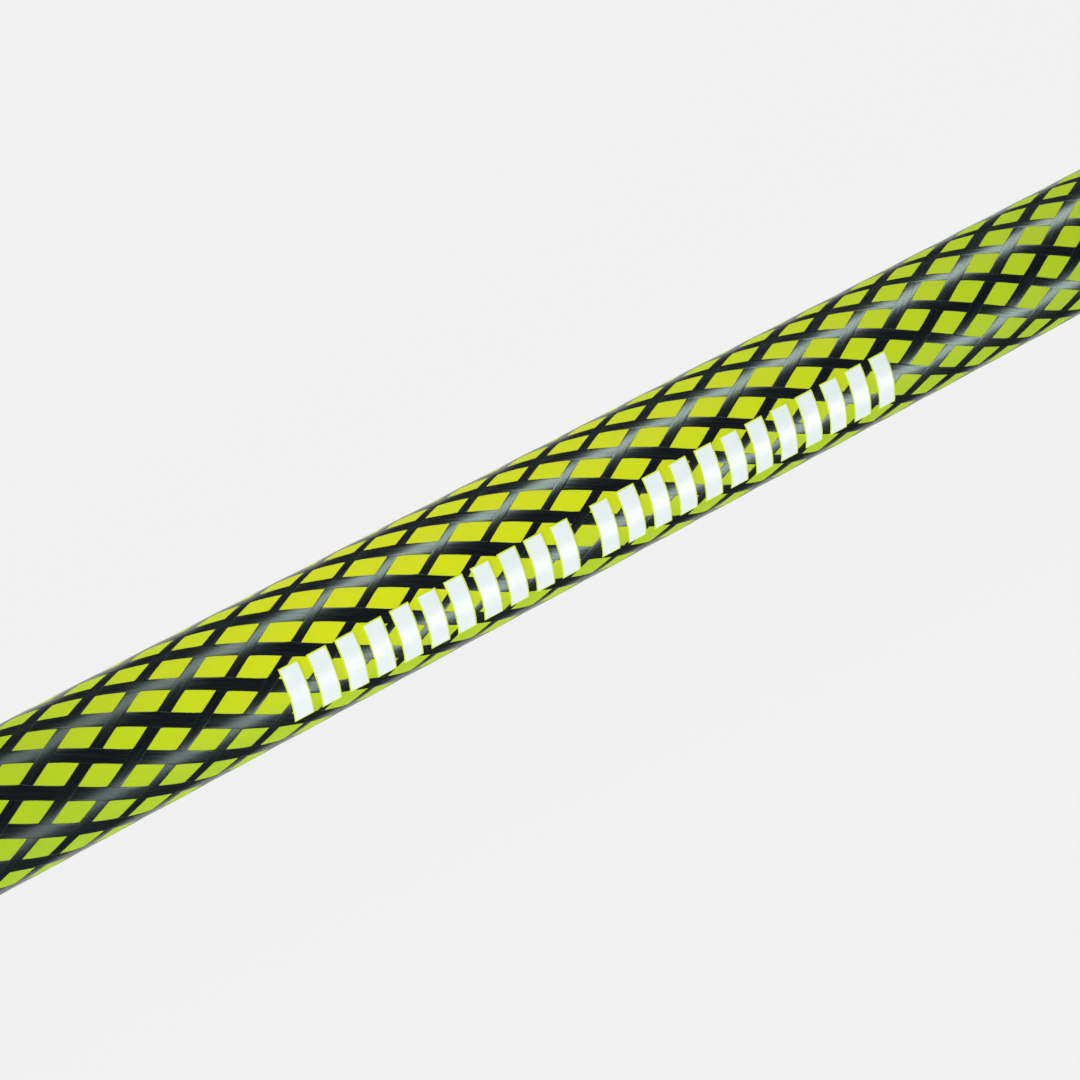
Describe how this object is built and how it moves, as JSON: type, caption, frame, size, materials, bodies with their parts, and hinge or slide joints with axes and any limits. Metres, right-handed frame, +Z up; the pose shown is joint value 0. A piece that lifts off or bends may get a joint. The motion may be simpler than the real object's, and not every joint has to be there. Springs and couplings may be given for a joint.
{
  "type": "field hockey stick",
  "caption": "Right-handed field hockey stick with a cushioned wrapped grip, a round braided shaft that bows and broadens towards the head, and a hooked head with a flat playing face.",
  "frame": {"origin": "on the floor under the middle of the stick's bounding box, with the stick lying at rest on its playing face", "axes": "+X along the stick from the butt to the head, +Y towards the toe of the head, +Z up, away from the playing face"},
  "size_m": [0.9298, 0.12, 0.0465],
  "materials": {
    "braid": "clear-coated black and lime braid",
    "laminate": "bare carbon laminate",
    "aramid": "woven aramid in resin",
    "foam": "rigid structural foam",
    "cap": "moulded, fine grain",
    "underlay": "double-sided tape",
    "grip": "perforated cushion wrap",
    "tape": "elastic tape",
    "collar": "soft, satin"
  },
  "bodies": {
    "root": {"braid_ply": "braid", "laminate_shell": "laminate", "aramid_liner": "aramid", "head_core": "foam", "inner_tube_toe_side": "laminate", "inner_tube_heel_side": "laminate", "handle_foam": "foam", "butt_cap": "cap", "grip_underlay": "underlay", "grip_wrap": "grip", "finishing_tape": "tape", "grip_collar": "collar"}
  },
  "joints": []
}
